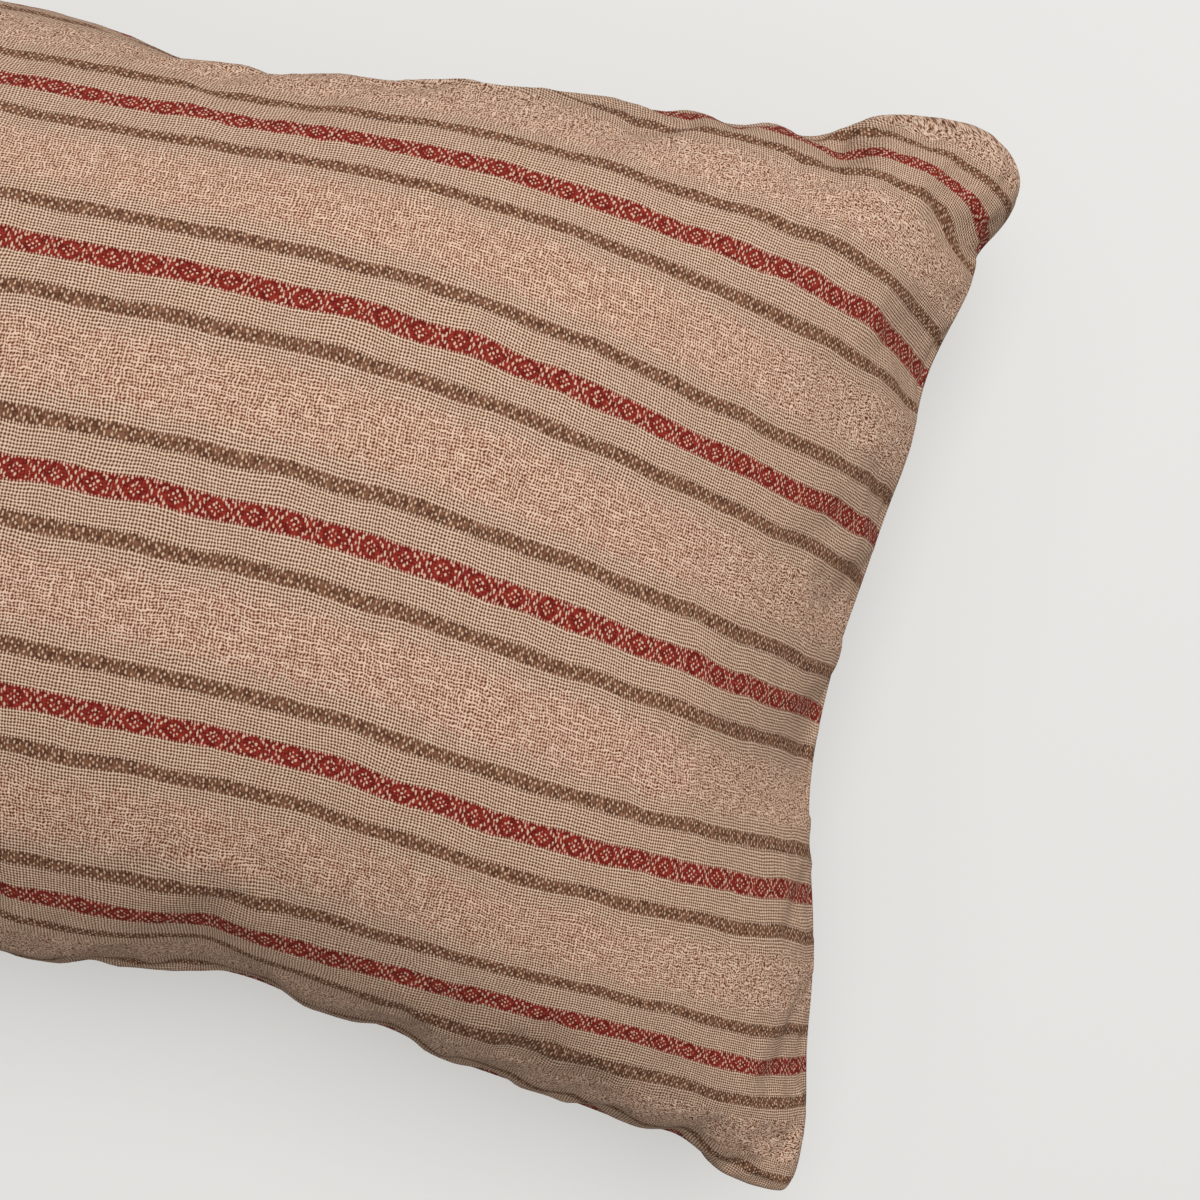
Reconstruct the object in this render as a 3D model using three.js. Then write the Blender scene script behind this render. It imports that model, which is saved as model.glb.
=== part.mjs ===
import * as THREE from 'three';

// A plump lumbar pillow that lies on its back: two striped panels, joined all round by one
// knife-edge seam, and filled. All lengths are in millimetres.
// X runs along the pillow and Y across it, toward the upper long side. Z points out of the front.
// The origin is on the surface that the pillow lies on, below the middle of its outline.
// A place on either panel is given as it lay on the flat cover, before filling: along the length
// and across the height, both from the cover's middle.

// The sewn cover, laid flat
const COVER_LENGTH = 508;
const COVER_HEIGHT = 356;
const HALF_LENGTH = COVER_LENGTH / 2;
const HALF_HEIGHT = COVER_HEIGHT / 2;

// The filled form, measured from the height of the seam
const FRONT_CROWN = 80;
const BACK_CROWN = 74;
const REST_DEPTH = 64;
const CORNER_DROOP = 7;

// How full the form stays on its way to the seams: higher numbers give a flatter crown with
// steeper sides
const FULLNESS_ALONG = 3.2;
const FULLNESS_ACROSS = 2.4;
const SETTLED_FILL = 0.05;

// How much further apart the cloth's places lie on the crown than at the seam, as the cloth there
// is spread flat and at the seam it turns down
const SPREAD_ALONG = { crown: 0.23, seam: 0.02 };
const SPREAD_ACROSS = { crown: 0.39, seam: 0.05 };

// Where the filled cover's long seams lie, in nine even steps along the cover. Upper and lower
// are the seams' distances from the middle line, drawn in between the corners. Drift is how far
// the cloth's middle line has slid toward the upper side.
const LONG_SEAMS = [
  { along: -254, upper: 170, lower: 170, drift: -8 },
  { along: -190.5, upper: 155, lower: 155, drift: 0 },
  { along: -127, upper: 143, lower: 148, drift: 6 },
  { along: -63.5, upper: 134, lower: 143, drift: 9 },
  { along: 0, upper: 130.5, lower: 142.5, drift: 12 },
  { along: 63.5, upper: 137.5, lower: 136, drift: 12 },
  { along: 127, upper: 144.5, lower: 146.5, drift: 6 },
  { along: 190.5, upper: 160, lower: 155, drift: -2 },
  { along: 254, upper: 173, lower: 173, drift: -11 },
];

// Where the end seams lie, in nine even steps across the cover, as distances from the middle
const END_SEAMS = [
  { across: -178, left: 238, right: 239 },
  { across: -133.5, left: 229, right: 235 },
  { across: -89, left: 219, right: 228 },
  { across: -44.5, left: 213, right: 220 },
  { across: 0, left: 211, right: 214 },
  { across: 44.5, left: 212, right: 218 },
  { across: 89, left: 217, right: 221 },
  { across: 133.5, left: 227, right: 233 },
  { across: 178, left: 238, right: 239 },
];

// How far each turned corner is drawn in along the cover and across it, and over how wide a
// stretch: a low sharpness makes a broad, soft ear
const CORNERS = {
  upperRight: { along: 15.5, across: 18.5, sharpness: 14 },
  lowerRight: { along: 7, across: 11.5, sharpness: 16 },
  upperLeft: { along: 7, across: 8, sharpness: 12 },
  lowerLeft: { along: 5, across: 6, sharpness: 12 },
};

// Puckers, where the gathered seam pulls the cloth in. Place is along the side, from its middle.
// Depth is how far the seam is pulled in, width how wide the dent is along the seam, and reach
// how far it runs into the panel. Sink is the share of the crown's height that it takes away.
// Where depth and sink are below zero, the cloth bulges out instead.
const PUCKERS = [
  { side: 'upper', place: 180, depth: 6, width: 14, reach: 26, sink: 0.28 },
  { side: 'upper', place: 155, depth: 1.8, width: 10, reach: 20, sink: 0.08 },
  { side: 'upper', place: 124, depth: -3.2, width: 26, reach: 26, sink: -0.05 },
  { side: 'upper', place: 88, depth: -3.4, width: 30, reach: 40, sink: -0.03 },
  { side: 'upper', place: 22, depth: 4, width: 13, reach: 34, sink: 0.12 },
  { side: 'upper', place: -4, depth: 1.5, width: 14, reach: 26, sink: 0.05 },
  { side: 'upper', place: -92, depth: 4, width: 22, reach: 32, sink: 0.12 },
  { side: 'upper', place: -180, depth: 6, width: 17, reach: 26, sink: 0.2 },
  { side: 'lower', place: 47, depth: 0.5, width: 14, reach: 30, sink: 0.12 },
  { side: 'lower', place: 84, depth: -1.5, width: 14, reach: 26, sink: -0.04 },
  { side: 'lower', place: 112, depth: 1.5, width: 12, reach: 24, sink: 0.08 },
  { side: 'lower', place: 208, depth: 3.5, width: 12, reach: 22, sink: 0.24 },
  { side: 'lower', place: -38, depth: 3, width: 20, reach: 30, sink: 0.08 },
  { side: 'lower', place: -130, depth: 4, width: 18, reach: 30, sink: 0.12 },
  { side: 'lower', place: -202, depth: 5, width: 14, reach: 22, sink: 0.2 },
  { side: 'right', place: 153, depth: -3.5, width: 13, reach: 26, sink: -0.1 },
  { side: 'right', place: 130.5, depth: 3, width: 8, reach: 20, sink: 0.25 },
  { side: 'right', place: 72, depth: -2.7, width: 17, reach: 24, sink: -0.04 },
  { side: 'right', place: -34, depth: 3, width: 26, reach: 22, sink: 0.14 },
  { side: 'right', place: -112, depth: 1, width: 16, reach: 22, sink: 0.08 },
  { side: 'left', place: 118, depth: 4, width: 15, reach: 22, sink: 0.18 },
  { side: 'left', place: 8, depth: 3, width: 24, reach: 22, sink: 0.12 },
  { side: 'left', place: -104, depth: 4, width: 15, reach: 22, sink: 0.16 },
];

// Soft troughs in the front panel, from one place on it to another. The one with a depth below
// zero is a swelling instead, in the upper right ear.
const CREASES = [
  { from: { along: 178, across: 178 }, to: { along: 190, across: 151 }, depth: 9, width: 8 },
  { from: { along: 234, across: 158 }, to: { along: 244, across: 142 }, depth: -5, width: 15 },
  { from: { along: 226, across: -160 }, to: { along: 196, across: -128 }, depth: 2, width: 14 },
  { from: { along: 248, across: -20 }, to: { along: 220, across: -34 }, depth: 4, width: 16 },
  { from: { along: -196, across: 172 }, to: { along: -216, across: 128 }, depth: 6, width: 11 },
  { from: { along: -206, across: -172 }, to: { along: -222, across: -128 }, depth: 6, width: 11 },
];

// The groove where the two panels meet in the seam
const GROOVE_DEPTH = 2;
const GROOVE_WIDTH = 4;

// The facets: cells along and across one panel, drawn closer together toward the seams by the
// given share
const CELLS_ALONG = 60;
const CELLS_ACROSS = 40;
const CELL_CROWDING = 0.6;

const CLOTH_COLOUR = 0xb8957a;

// The value of a table's column at a place on the cover, on a smooth curve through its evenly
// spaced rows. The place column says where each row lies.
function readTable(rows, placeColumn, column, place) {
  const last = rows.length - 1;
  const first = rows[0][placeColumn];
  const share = (place - first) / (rows[last][placeColumn] - first);
  const position = THREE.MathUtils.clamp(share, 0, 1) * last;
  const row = Math.min(Math.floor(position), last - 1);
  const step = position - row;
  const start = rows[row][column];
  const end = rows[row + 1][column];
  const before = row > 0 ? rows[row - 1][column] : 2 * start - end;
  const after = row + 2 <= last ? rows[row + 2][column] : 2 * end - start;
  const slopeAtStart = (end - before) / 2;
  const slopeAtEnd = (after - start) / 2;
  const rise = end - start;
  const bend = 3 * rise - 2 * slopeAtStart - slopeAtEnd;
  const twist = slopeAtStart + slopeAtEnd - 2 * rise;
  return start + step * (slopeAtStart + step * (bend + step * twist));
}

// One at the middle, falling softly to nothing past the given width
function bump(distance, width) {
  return Math.exp(-((distance / width) ** 2));
}

// A fraction of the half size, moved outward by the spread that is left at this place
function spreadOut(fraction, crossFraction, spread) {
  const amount = spread.crown + (spread.seam - spread.crown) * crossFraction ** 2;
  return fraction * (1 + amount * (1 - fraction ** 2));
}

// Distance from a side's seam, measured on the flat cover
function distanceFromSide(side, s, t) {
  const distances = {
    upper: HALF_HEIGHT * (1 - t),
    lower: HALF_HEIGHT * (1 + t),
    right: HALF_LENGTH * (1 - s),
    left: HALF_LENGTH * (1 + s),
  };
  return distances[side];
}

// Outward direction of each side
const OUTWARD = {
  upper: new THREE.Vector2(0, 1),
  lower: new THREE.Vector2(0, -1),
  right: new THREE.Vector2(1, 0),
  left: new THREE.Vector2(-1, 0),
};

// How strongly a pucker acts at a place on the cover, from 0 to 1
function puckerAt(pucker, s, t) {
  const onLongSide = pucker.side === 'upper' || pucker.side === 'lower';
  const alongSide = onLongSide ? s * HALF_LENGTH : t * HALF_HEIGHT;
  const inward = distanceFromSide(pucker.side, s, t);
  return bump(alongSide - pucker.place, pucker.width) * bump(inward, pucker.reach);
}

// Depth of a crease at a place on the cover: a soft trough on each side of its line
function creaseAt(crease, s, t) {
  const point = new THREE.Vector3(s * HALF_LENGTH, t * HALF_HEIGHT, 0);
  const line = new THREE.Line3(
    new THREE.Vector3(crease.from.along, crease.from.across, 0),
    new THREE.Vector3(crease.to.along, crease.to.across, 0),
  );
  const nearest = line.closestPointToPoint(point, true, new THREE.Vector3());
  return crease.depth * bump(point.distanceTo(nearest), crease.width);
}

// The outline seen from above: where a place on the cover lies once the pillow is filled. The
// place is given by s along the cover and t across it, each from -1 at one seam to 1 at the other.
function outlinePoint(s, t) {
  const alongPlace = s * HALF_LENGTH;
  const acrossPlace = t * HALF_HEIGHT;
  const right = readTable(END_SEAMS, 'across', 'right', acrossPlace);
  const left = readTable(END_SEAMS, 'across', 'left', acrossPlace);
  const upper = readTable(LONG_SEAMS, 'along', 'upper', alongPlace);
  const lower = readTable(LONG_SEAMS, 'along', 'lower', alongPlace);
  const drift = readTable(LONG_SEAMS, 'along', 'drift', alongPlace);
  const along = spreadOut(s, t, SPREAD_ALONG);
  const across = spreadOut(t, s, SPREAD_ACROSS);
  const point = new THREE.Vector2(
    along * (right + left) / 2 + along ** 2 * (right - left) / 2,
    across * (upper + lower) / 2 + across ** 2 * (upper - lower) / 2 + drift * (1 - t ** 2),
  );

  const name = (t > 0 ? 'upper' : 'lower') + (s > 0 ? 'Right' : 'Left');
  const corner = CORNERS[name];
  const nearCorner = Math.abs(s * t) ** corner.sharpness;
  point.x -= Math.sign(s) * corner.along * nearCorner;
  point.y -= Math.sign(t) * corner.across * nearCorner;

  for (const pucker of PUCKERS) {
    point.addScaledVector(OUTWARD[pucker.side], -pucker.depth * puckerAt(pucker, s, t));
  }
  for (const side of Object.keys(OUTWARD)) {
    const nearSeam = bump(distanceFromSide(side, s, t), GROOVE_WIDTH);
    point.addScaledVector(OUTWARD[side], -GROOVE_DEPTH * nearSeam);
  }
  return point;
}

// The share of the crown's height at a place: full at the middle and nothing at the seams, a
// little more on the lower half, where the filling has settled, and less in each pucker. The
// two directions are joined so that the form narrows evenly, as a cone does, into each corner.
function crownShare(s, t) {
  const along = 1 - Math.abs(s) ** FULLNESS_ALONG;
  const across = 1 - Math.abs(t) ** FULLNESS_ACROSS;
  const settled = 1 - SETTLED_FILL * t * (1 - s ** 2);
  const both = along * across;
  let share = both > 0 ? settled * both / Math.sqrt(along ** 2 + across ** 2 - both ** 2) : 0;
  for (const pucker of PUCKERS) {
    share *= 1 - pucker.sink * puckerAt(pucker, s, t);
  }
  return share;
}

// A point of the front or the back panel. The creases press the front in or out by half of its
// height at most, and the surface below presses the back flat.
function panelPoint(s, t, isFront) {
  const outline = outlinePoint(s, t);
  const share = crownShare(s, t);
  const droop = CORNER_DROOP * (s * t) ** 4;
  let height;
  if (isFront) {
    const full = FRONT_CROWN * share;
    const pressed = CREASES.reduce((sum, crease) => sum + creaseAt(crease, s, t), 0);
    height = THREE.MathUtils.clamp(full - pressed, full / 2, full * 3 / 2);
  } else {
    height = -Math.min(BACK_CROWN * share, REST_DEPTH - droop);
  }
  return new THREE.Vector3(outline.x, outline.y, REST_DEPTH + height - droop);
}

// Cell lines from -1 to 1, closer together toward both ends
function cellLines(count) {
  const lines = [];
  for (let i = 0; i <= count; i += 1) {
    const even = 2 * i / count - 1;
    const crowded = Math.sin(even * Math.PI / 2);
    lines.push(even + CELL_CROWDING * (crowded - even));
  }
  return lines;
}

// Both panels as one closed surface: they share the points of the seam
function pillowGeometry() {
  const alongLines = cellLines(CELLS_ALONG);
  const acrossLines = cellLines(CELLS_ACROSS);
  const positions = [];
  const addPanel = (isFront, seamNumbers) => alongLines.map((s, i) => acrossLines.map((t, j) => {
    const onSeam = i === 0 || i === CELLS_ALONG || j === 0 || j === CELLS_ACROSS;
    if (onSeam && seamNumbers) return seamNumbers[i][j];
    positions.push(...panelPoint(s, t, isFront).toArray());
    return positions.length / 3 - 1;
  }));
  const front = addPanel(true, null);
  const back = addPanel(false, front);

  // Each cell is two triangles. They part along the diagonal that runs to the nearest corner of
  // the cover, so that none has all of its corners on the seam.
  const triangles = [];
  const addCell = ([a, b, c, d], isFront) => {
    const corners = isFront ? [a, b, c, a, c, d] : [a, c, b, a, d, c];
    triangles.push(...corners);
  };
  for (const [numbers, isFront] of [[front, true], [back, false]]) {
    for (let i = 0; i < CELLS_ALONG; i += 1) {
      for (let j = 0; j < CELLS_ACROSS; j += 1) {
        const cell = [
          numbers[i][j], numbers[i + 1][j], numbers[i + 1][j + 1], numbers[i][j + 1],
        ];
        const isRight = i >= CELLS_ALONG / 2;
        const isUpper = j >= CELLS_ACROSS / 2;
        if (isRight !== isUpper) cell.push(cell.shift());
        addCell(cell, isFront);
      }
    }
  }

  const geometry = new THREE.BufferGeometry();
  geometry.setAttribute('position', new THREE.Float32BufferAttribute(positions, 3));
  geometry.setIndex(triangles);
  geometry.computeBoundingBox();
  const middle = geometry.boundingBox.getCenter(new THREE.Vector3());
  geometry.translate(-middle.x, -middle.y, 0);
  geometry.computeVertexNormals();
  return geometry;
}

const cloth = new THREE.MeshStandardMaterial({
  color: CLOTH_COLOUR,
  roughness: 0.95,
  metalness: 0,
});

const pillow = new THREE.Mesh(pillowGeometry(), cloth);
pillow.name = 'pillow';

const lumbarPillow = new THREE.Group();
lumbarPillow.add(pillow);

export default lumbarPillow;
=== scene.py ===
"""A plump lumbar pillow in striped hand-woven cotton, lying on its back.

Two panels are joined all round by one knife-edge seam. Each is a surface of two parameters: s runs
along the cover and t across it, each from -1 at one seam to 1 at the other. Sizes are in
millimetres, and the finished meshes are in metres. X runs along the pillow, Y toward its upper
long side, and Z up out of its front.
"""

import math

import bpy
import numpy as np
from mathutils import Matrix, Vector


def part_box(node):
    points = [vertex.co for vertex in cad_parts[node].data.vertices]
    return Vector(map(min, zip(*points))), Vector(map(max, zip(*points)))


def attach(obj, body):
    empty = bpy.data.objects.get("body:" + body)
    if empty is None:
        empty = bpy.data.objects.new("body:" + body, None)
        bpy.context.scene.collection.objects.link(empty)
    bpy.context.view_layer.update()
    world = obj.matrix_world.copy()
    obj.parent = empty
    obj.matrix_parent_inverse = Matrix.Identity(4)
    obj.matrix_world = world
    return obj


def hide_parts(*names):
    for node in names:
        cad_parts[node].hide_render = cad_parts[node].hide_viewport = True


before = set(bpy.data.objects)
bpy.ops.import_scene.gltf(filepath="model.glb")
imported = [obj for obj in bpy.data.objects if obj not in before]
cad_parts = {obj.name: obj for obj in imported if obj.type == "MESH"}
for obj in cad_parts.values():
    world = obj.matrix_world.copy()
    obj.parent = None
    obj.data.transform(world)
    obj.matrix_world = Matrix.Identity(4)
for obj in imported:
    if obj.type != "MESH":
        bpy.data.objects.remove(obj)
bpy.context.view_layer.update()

MILLIMETRE = 0.001

# The sewn cover, laid flat
COVER_LENGTH = 508
COVER_HEIGHT = 356
HALF_LENGTH = COVER_LENGTH / 2
HALF_HEIGHT = COVER_HEIGHT / 2

# The filled form, measured from the height of the seam
FRONT_CROWN = 80
BACK_CROWN = 74
REST_DEPTH = 64
CORNER_DROOP = 7

# How full the form stays on its way to the seams
FULLNESS_ALONG = 3.2
FULLNESS_ACROSS = 2.4
SETTLED_FILL = 0.05

# How much further apart the cloth's places lie on the crown than at the seam
SPREAD_ALONG = {"crown": 0.23, "seam": 0.02}
SPREAD_ACROSS = {"crown": 0.39, "seam": 0.05}

# Where the filled cover's long seams lie, in even steps along the cover. Drift is how far the
# cloth's middle line has slid toward the upper side.
LONG_SEAMS = [
    {"along": -254, "upper": 170, "lower": 170, "drift": -8},
    {"along": -190.5, "upper": 155, "lower": 155, "drift": 0},
    {"along": -127, "upper": 143, "lower": 148, "drift": 6},
    {"along": -63.5, "upper": 134, "lower": 143, "drift": 9},
    {"along": 0, "upper": 130.5, "lower": 142.5, "drift": 12},
    {"along": 63.5, "upper": 137.5, "lower": 136, "drift": 12},
    {"along": 127, "upper": 144.5, "lower": 146.5, "drift": 6},
    {"along": 190.5, "upper": 160, "lower": 155, "drift": -2},
    {"along": 254, "upper": 173, "lower": 173, "drift": -11},
]

# Where the end seams lie, in even steps across the cover
END_SEAMS = [
    {"across": -178, "left": 238, "right": 239},
    {"across": -133.5, "left": 229, "right": 235},
    {"across": -89, "left": 219, "right": 228},
    {"across": -44.5, "left": 213, "right": 220},
    {"across": 0, "left": 211, "right": 214},
    {"across": 44.5, "left": 212, "right": 218},
    {"across": 89, "left": 217, "right": 221},
    {"across": 133.5, "left": 227, "right": 233},
    {"across": 178, "left": 238, "right": 239},
]

# How far each turned corner is drawn in, and over how wide a stretch
CORNERS = {
    (1, 1): {"along": 15.5, "across": 18.5, "sharpness": 14},
    (1, -1): {"along": 7, "across": 11.5, "sharpness": 16},
    (-1, 1): {"along": 7, "across": 8, "sharpness": 12},
    (-1, -1): {"along": 5, "across": 6, "sharpness": 12},
}

# Puckers, where the gathered seam pulls the cloth in: place along the side, depth that the seam is
# pulled in, width along the seam, reach into the panel, and the share of the crown that sinks.
# Where depth and sink are below zero, the cloth bulges out instead.
PUCKERS = [
    {"side": "upper", "place": 180, "depth": 6, "width": 14, "reach": 26, "sink": 0.28},
    {"side": "upper", "place": 155, "depth": 1.8, "width": 10, "reach": 20, "sink": 0.08},
    {"side": "upper", "place": 124, "depth": -3.2, "width": 26, "reach": 26, "sink": -0.05},
    {"side": "upper", "place": 88, "depth": -3.4, "width": 30, "reach": 40, "sink": -0.03},
    {"side": "upper", "place": 22, "depth": 4, "width": 13, "reach": 34, "sink": 0.12},
    {"side": "upper", "place": -4, "depth": 1.5, "width": 14, "reach": 26, "sink": 0.05},
    {"side": "upper", "place": -92, "depth": 4, "width": 22, "reach": 32, "sink": 0.12},
    {"side": "upper", "place": -180, "depth": 6, "width": 17, "reach": 26, "sink": 0.2},
    {"side": "lower", "place": 47, "depth": 0.5, "width": 14, "reach": 30, "sink": 0.12},
    {"side": "lower", "place": 84, "depth": -1.5, "width": 14, "reach": 26, "sink": -0.04},
    {"side": "lower", "place": 112, "depth": 1.5, "width": 12, "reach": 24, "sink": 0.08},
    {"side": "lower", "place": 208, "depth": 3.5, "width": 12, "reach": 22, "sink": 0.24},
    {"side": "lower", "place": -38, "depth": 3, "width": 20, "reach": 30, "sink": 0.08},
    {"side": "lower", "place": -130, "depth": 4, "width": 18, "reach": 30, "sink": 0.12},
    {"side": "lower", "place": -202, "depth": 5, "width": 14, "reach": 22, "sink": 0.2},
    {"side": "right", "place": 153, "depth": -3.5, "width": 13, "reach": 26, "sink": -0.1},
    {"side": "right", "place": 130.5, "depth": 3, "width": 8, "reach": 20, "sink": 0.25},
    {"side": "right", "place": 72, "depth": -2.7, "width": 17, "reach": 24, "sink": -0.04},
    {"side": "right", "place": -34, "depth": 3, "width": 26, "reach": 22, "sink": 0.14},
    {"side": "right", "place": -112, "depth": 1, "width": 16, "reach": 22, "sink": 0.08},
    {"side": "left", "place": 118, "depth": 4, "width": 15, "reach": 22, "sink": 0.18},
    {"side": "left", "place": 8, "depth": 3, "width": 24, "reach": 22, "sink": 0.12},
    {"side": "left", "place": -104, "depth": 4, "width": 15, "reach": 22, "sink": 0.16},
]

# Soft troughs in the front panel, from one place on the cover to another. The one with a depth
# below zero is a swelling instead, in the upper right ear.
CREASES = [
    {"from": (178, 178), "to": (190, 151), "depth": 9, "width": 8},
    {"from": (234, 158), "to": (244, 142), "depth": -5, "width": 15},
    {"from": (226, -160), "to": (196, -128), "depth": 2, "width": 14},
    {"from": (248, -20), "to": (220, -34), "depth": 4, "width": 16},
    {"from": (-196, 172), "to": (-216, 128), "depth": 6, "width": 11},
    {"from": (-206, -172), "to": (-222, -128), "depth": 6, "width": 11},
]

# The groove where the two panels meet in the seam
GROOVE_DEPTH = 2
GROOVE_WIDTH = 4

# Cells along and across one panel, drawn closer together toward the seams
CELLS_ALONG = 252
CELLS_ACROSS = 176
CELL_CROWDING = 0.6

# The cloth as it is settled by simulation, on coarser cells. Slack is the share by which the cloth
# grows away from the seams. Its mass is each point's, in kilograms, and it has no weight, because
# the filling carries it. Each hold is how firmly a place keeps to the plain form, from 0 to 1.
SETTLING_CELLS_ALONG = 100
SETTLING_CELLS_ACROSS = 70
SETTLING_CROWDING = 0.3
SETTLING_STEPS = 16
SETTLING_QUALITY = 5
CLOTH_SLACK = 0.03
SLACK_REACH = 45
CLOTH_POINT_MASS = 0.02
STRETCH_STIFFNESS = 15
SHEAR_STIFFNESS = 5
BENDING_STIFFNESS = 1
CLOTH_DAMPING = 5
AIR_DAMPING = 1
FILLING_PRESSURE = 4
HOLD_IN_PANEL = 0.1
HOLD_NEAR_SEAM = 0.02
HOLD_AT_SEAM = 1
HOLD_ON_BACK = 0.3

# The most that the simulation may move the cloth, and how far in from the seam the back moves
MOST_SETTLING = 2.2
BACK_SETTLING_REACH = 14

# How the cloth's stripes have slid over the filled form, where the gathered seams let more or less
# cloth through: place on the cover, width along, reach across, and the slide downward
SLIDES = [
    {"along": 62, "below": 0, "width": 75, "reach": 32, "down": 32},
    {"along": 172, "below": 8, "width": 12, "reach": 8, "down": 8},
    {"along": 254, "below": 40, "width": 42, "reach": 34, "down": -21},
    {"along": 254, "below": 18, "width": 42, "reach": 15, "down": -9},
    {"along": 212, "below": 18, "width": 22, "reach": 12, "down": -6},
    {"along": 228, "below": 42, "width": 18, "reach": 9, "down": 5.5},
    {"along": 250, "below": 90, "width": 45, "reach": 14, "down": -3},
    {"along": 180, "below": 112, "width": 60, "reach": 48, "down": -5.5},
    {"along": -20, "below": 88, "width": 55, "reach": 28, "down": -2.5},
    {"along": 100, "below": 64, "width": 38, "reach": 13, "down": 2.4},
    {"along": -5, "below": 244, "width": 36, "reach": 30, "down": 2},
    {"along": 195, "below": 242, "width": 45, "reach": 30, "down": 1.8},
    {"along": 244, "below": 245, "width": 35, "reach": 75, "down": 3},
    {"along": 165, "below": 300, "width": 55, "reach": 28, "down": 3.3},
    {"along": 50, "below": 290, "width": 55, "reach": 14, "down": -3.5},
    {"along": 55, "below": 312, "width": 50, "reach": 16, "down": -9},
    {"along": 150, "below": 325, "width": 50, "reach": 14, "down": -8},
    {"along": 254, "below": 312, "width": 28, "reach": 24, "down": 2.5},
]

# The crepe of hand-woven cloth: soft waves, in millimetres, that lift the surface and lead the
# threads astray. The seeds choose the waves.
CREPE_HEIGHT = 0.12
CREPE_LENGTH = 9
CREPE_SEED = 5
WIDE_WANDER = 0.5
WIDE_WANDER_LENGTH = 26
CLOSE_WANDER = 0.14
CLOSE_WANDER_LENGTH = 9
FRONT_WANDER_SEED = 11
BACK_WANDER_SEED = 21

# The crepe lies flat at the seams: it falls with these powers of the place along and across
CREPE_FALL_ALONG = 40
CREPE_FALL_ACROSS = 30

# The woven stripes. The first red stripe lies this share of a repeat below the upper seam.
STRIPE_REPEAT = 55.2
FIRST_STRIPE = 0.42
RED_WIDTH = 5.9
BROWN_WIDTH = 4.1
BROWN_OFFSET = 12.5
PINK_HALF_WIDTH = 8.5
PINK_SOFTNESS = 1.5
PINK_RAGGEDNESS = 9

# The threads. The weft runs across the stripes and the warp along them. Sixty-three warp threads
# make one stripe repeat.
WEFT_PITCH = 0.82
WARP_PITCH = STRIPE_REPEAT / 63
THREAD_HEIGHT = 0.05
THREAD_HEIGHT_IN_STRIPE = 0.02

# Patches of unevenness, about two millimetres across. The scale is that of the noise, in turns for
# each millimetre.
PATCH_SCALE = 0.5

# Where the cloth lies slack, so that its weave breaks up into crepe: from this far off the middle
# line, and from this far along
SLACK_OFF_CROWN = (90, 150)
SLACK_ALONG = (150, 230)
MOST_SLACK_AT_END = 0.8

# How far the patches lead the threads astray, in millimetres: everywhere, in the pink bands as
# well, and most in the pink bands where the cloth is slack
WANDER_EVERYWHERE = 0.45
WANDER_IN_PINK = 0.55
WANDER_IN_SLACK = 0.9
WANDER_DIRECTION = (1.0, -0.8, 0)

# The wider bends of the threads in slack pink cloth, in millimetres along and below
MEANDER_SCALE = 0.36
MEANDER = (1.5, 2.1, 0)

# Slubs: how far they stand out in the plain ground, and how much further in the pink bands
SLUB_IN_GROUND = 0.25
SLUB_IN_PINK = 0.6
WARP_SLUB_STRETCH = (0.2, 1.5, 0)
WEFT_SLUB_STRETCH = (1.6, 0.3, 0)

# The crepe's net of gaps: its noise, in turns for each millimetre, how it is drawn out along the
# threads, and its share of the weave in the pink bands, tight and slack
NET_SCALE = 1.2
NET_STRETCH = (0.8, 1.15, 0)
NET_IN_PINK = 0.14
NET_IN_SLACK = 0.22

# How much the weave's painted lights and shades are strengthened, everywhere and in slack pink cloth
WEAVE_CONTRAST = 1.04
WEAVE_CONTRAST_IN_SLACK = 0.25

# The share of the pink that is left where the cloth is slack
PINK_LEFT_IN_SLACK = 0.6

# The red stripe's diamonds, charted on half a repeat of twelve weft threads: each fleck is a short
# stretch of weft on top. Thread counts from the diamond's middle, and out is the distance from
# the stripe's middle line.
RED_REPEAT_THREADS = 12
RED_FLECKS = [
    {"thread": 0, "out": 0, "length": 0.62, "width": 0.5},
    {"thread": 0, "out": 1.42, "length": 0.8, "width": 0.52},
    {"thread": 1, "out": 0.76, "length": 0.7, "width": 0.52},
    {"thread": 2, "out": 0, "length": 0.5, "width": 0.42},
    {"thread": 2, "out": 2.7, "length": 1.0, "width": 0.5},
    {"thread": 3, "out": 1.85, "length": 1.1, "width": 0.5},
    {"thread": 4, "out": 1.0, "length": 1.15, "width": 0.5},
    {"thread": 5, "out": 0, "length": 1.6, "width": 0.46},
    {"thread": 5, "out": 2.6, "length": 1.1, "width": 0.48},
    {"thread": 6, "out": 1.6, "length": 1.4, "width": 0.48},
]

# The brown stripes' small lozenges, charted in the same way on a repeat of four weft threads
BROWN_REPEAT_THREADS = 4
BROWN_FLECKS = [
    {"thread": 0, "out": 1.9, "length": 1.2, "width": 0.44},
    {"thread": 1, "out": 0.85, "length": 0.95, "width": 0.44},
    {"thread": 2, "out": 0, "length": 1.0, "width": 0.42},
    {"thread": 2, "out": 2.05, "length": 1.0, "width": 0.4},
]

# The camera looks straight down from above the right half, turned so that the pillow lies aslant
CAMERA_PLACE = (136.9, -0.5, 544)
CAMERA_TURN = 12.5
CAMERA_LENS = 48
SENSOR_WIDTH = 36

# The floor's half size and the reach of its painted contact shadow, in metres, and its own light
# where the camera sees it, as a share of white: in the open, and the share of that where ambient
# occlusion paints shadow beside the pillow
FLOOR_HALF_SIZE = 12
PAINTED_SHADOW_REACH = 0.1
FLOOR_LIGHT = 0.465
FLOOR_LIGHT_IN_PAINTED_SHADOW = 0.77

# The even light all round, and how bright the backdrop looks: as bright as the floor far away
ROUND_LIGHT = 0.12
BACKDROP_LIGHT = 0.52

# The one lamp: its place and width in metres, and its power in watts
LAMP_PLACE = (0.27, 0.6, 1.8)
LAMP_WIDTH = 1.6
LAMP_POWER = 33


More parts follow.
